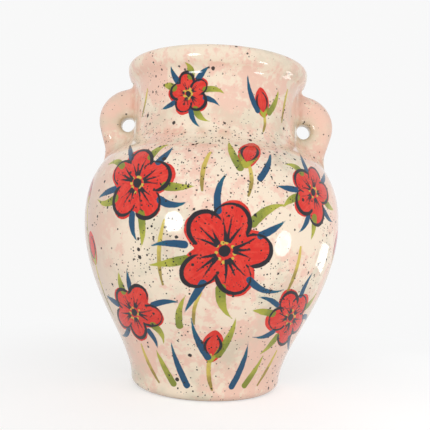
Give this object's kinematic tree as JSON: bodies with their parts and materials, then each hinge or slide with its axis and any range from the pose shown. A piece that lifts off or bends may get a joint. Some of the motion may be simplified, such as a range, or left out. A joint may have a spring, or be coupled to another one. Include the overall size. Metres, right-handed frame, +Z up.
{
  "type": "hanging wall vase",
  "caption": "Half-round glazed clay wall vase with a flat back, a full belly, a flared collar with a rolled lip, and pierced ears at the neck that it hangs by.",
  "frame": {"origin": "on the wall plane, midway between the axes of the two hanging holes", "axes": "+Y into the wall, +Z up, +X to the right of someone who faces the vase"},
  "size_m": [0.1988, 0.1064, 0.25],
  "materials": {
    "painted_glaze": "gloss clear glaze over sponged, speckled and brush-painted clay",
    "bare_clay": "unglazed fired clay"
  },
  "bodies": {
    "root": {"back_slab": "bare_clay", "base_slab": "painted_glaze", "front_wall": "painted_glaze", "collar": "painted_glaze", "rim_coil": "painted_glaze", "left_ear": "painted_glaze", "right_ear": "painted_glaze", "floor_coil": "bare_clay", "left_coil": "bare_clay", "right_coil": "bare_clay"}
  },
  "joints": []
}
